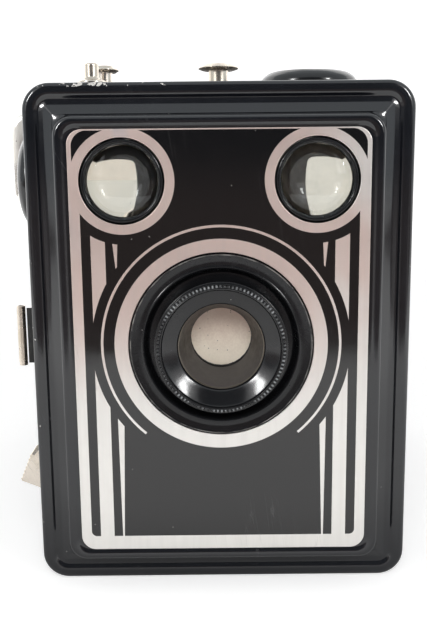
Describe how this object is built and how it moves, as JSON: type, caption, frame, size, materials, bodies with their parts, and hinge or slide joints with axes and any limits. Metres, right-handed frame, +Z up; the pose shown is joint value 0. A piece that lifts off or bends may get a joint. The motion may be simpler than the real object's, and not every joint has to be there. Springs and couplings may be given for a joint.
{
  "type": "box camera",
  "caption": "Upright roll-film box camera with stepped enamel front, striped face plate, reflex finders, knurled lens ring, winding key, aperture slide, release lever and hinged back.",
  "frame": {"origin": "middle of the bottom face, where the upright camera stands", "axes": "lens looks along -Y, +X to the right of someone facing the lens, +Z up"},
  "size_m": [0.093, 0.1194, 0.1113],
  "materials": {
    "body_shell": "matt black paint",
    "leatherette_wrap": "grained black leatherette",
    "front_frame": "glossy black enamel",
    "face_plate": "satin silver with black lacquer stripes",
    "lens_dish": "glossy black",
    "lens_ring": "glossy black",
    "shutter_case": "matt black paint",
    "shutter_board": "matt black paint",
    "blade_pivot": "plain steel",
    "lens_cell": "matt black paint",
    "taking_lens": "clear polished",
    "lever_pivot": "plain steel",
    "release_spring": "plain steel",
    "finder_sleeve_left": "glossy black",
    "finder_sleeve_right": "glossy black",
    "finder_lens_left": "clear polished",
    "finder_lens_right": "clear polished",
    "finder_housing_left": "matt black paint",
    "finder_housing_right": "matt black paint",
    "finder_mirror_left": "silvered",
    "finder_mirror_right": "silvered",
    "window_bezel_side": "glossy black",
    "window_bezel_top": "glossy black",
    "window_glass_side": "clear polished",
    "window_glass_top": "clear polished",
    "strap_stud_front": "worn nickel plating",
    "strap_stud_rear": "worn nickel plating",
    "flash_stud": "worn nickel plating",
    "flash_contact": "bright plating",
    "contact_insulator": "glossy black",
    "tripod_bush_bottom": "plain steel",
    "tripod_bush_side": "plain steel",
    "carrier_side_left": "matt black paint",
    "carrier_side_right": "matt black paint",
    "carrier_front": "matt black paint",
    "film_gate": "matt black paint",
    "light_cone": "matt black paint",
    "hinge_leaf_body": "plain steel",
    "hinge_pin": "plain steel",
    "release_lever": "worn nickel plating",
    "shutter_blade": "dull cream-grey metal",
    "aperture_slide": "plain steel",
    "yellow_filter": "yellow filter glass",
    "pull_tab": "worn nickel plating",
    "takeup_spool": "black lacquered sheet",
    "winding_key": "bright plating",
    "supply_spool": "black lacquered sheet",
    "film_roller_bottom": "plain steel",
    "film_roller_top": "plain steel",
    "back_door": "glossy black enamel",
    "door_leatherette": "grained black leatherette",
    "red_window": "deep red window",
    "red_window_ring": "worn nickel plating",
    "door_catch": "worn nickel plating",
    "hinge_leaf_door": "plain steel"
  },
  "bodies": {
    "camera": {"body_shell": "body_shell", "leatherette_wrap": "leatherette_wrap", "front_frame": "front_frame", "face_plate": "face_plate", "lens_dish": "lens_dish", "lens_ring": "lens_ring", "shutter_case": "shutter_case", "shutter_board": "shutter_board", "blade_pivot": "blade_pivot", "lens_cell": "lens_cell", "taking_lens": "taking_lens", "lever_pivot": "lever_pivot", "release_spring": "release_spring", "finder_sleeve_left": "finder_sleeve_left", "finder_sleeve_right": "finder_sleeve_right", "finder_lens_left": "finder_lens_left", "finder_lens_right": "finder_lens_right", "finder_housing_left": "finder_housing_left", "finder_housing_right": "finder_housing_right", "finder_mirror_left": "finder_mirror_left", "finder_mirror_right": "finder_mirror_right", "window_bezel_side": "window_bezel_side", "window_bezel_top": "window_bezel_top", "window_glass_side": "window_glass_side", "window_glass_top": "window_glass_top", "strap_stud_front": "strap_stud_front", "strap_stud_rear": "strap_stud_rear", "flash_stud": "flash_stud", "flash_contact": "flash_contact", "contact_insulator": "contact_insulator", "tripod_bush_bottom": "tripod_bush_bottom", "tripod_bush_side": "tripod_bush_side", "carrier_side_left": "carrier_side_left", "carrier_side_right": "carrier_side_right", "carrier_front": "carrier_front", "film_gate": "film_gate", "light_cone": "light_cone", "hinge_leaf_body": "hinge_leaf_body", "hinge_pin": "hinge_pin"},
    "release": {"release_lever": "release_lever"},
    "blade": {"shutter_blade": "shutter_blade"},
    "aperture": {"aperture_slide": "aperture_slide", "yellow_filter": "yellow_filter", "pull_tab": "pull_tab"},
    "takeup": {"takeup_spool": "takeup_spool", "winding_key": "winding_key"},
    "supply": {"supply_spool": "supply_spool"},
    "roller_bottom": {"film_roller_bottom": "film_roller_bottom"},
    "roller_top": {"film_roller_top": "film_roller_top"},
    "door": {"back_door": "back_door", "door_leatherette": "door_leatherette", "red_window": "red_window", "red_window_ring": "red_window_ring", "door_catch": "door_catch", "hinge_leaf_door": "hinge_leaf_door"}
  },
  "joints": [
    {"name": "release_press", "type": "hinge", "parent": "camera", "child": "release", "pos_m": [-0.027, -0.0457, 0.0215], "axis": [0, -1, 0], "range_deg": [0, 10], "stiffness_Nm_per_rad": 0.01, "springref_deg": -28.65},
    {"name": "blade_swing", "type": "hinge", "parent": "camera", "child": "blade", "pos_m": [0.0099, -0.05125, 0.0441], "axis": [0, 1, 0], "range_deg": [0, 55]},
    {"name": "aperture_pull", "type": "slide", "parent": "camera", "child": "aperture", "axis": [-1, 0, 0], "range_m": [0, 0.024]},
    {"name": "winding_turn", "type": "hinge", "parent": "camera", "child": "takeup", "pos_m": [0, -0.015, 0.0914], "axis": [-1, 0, 0], "continuous": true},
    {"name": "supply_turn", "type": "hinge", "parent": "camera", "child": "supply", "pos_m": [0, -0.015, 0.015], "axis": [-1, 0, 0], "continuous": true},
    {"name": "roller_bottom_turn", "type": "hinge", "parent": "camera", "child": "roller_bottom", "pos_m": [0, 0.0454, 0.0085], "axis": [-1, 0, 0], "continuous": true},
    {"name": "roller_top_turn", "type": "hinge", "parent": "camera", "child": "roller_top", "pos_m": [0, 0.0454, 0.0995], "axis": [-1, 0, 0], "continuous": true},
    {"name": "door_swing", "type": "hinge", "parent": "camera", "child": "door", "pos_m": [0.0416, 0.0504, 0.0532], "axis": [0, 0, -1], "range_deg": [0, 110]}
  ],
  "couplings": [
    {"joint": "blade_swing", "follows": "release_press", "ratio": 5.5}
  ]
}
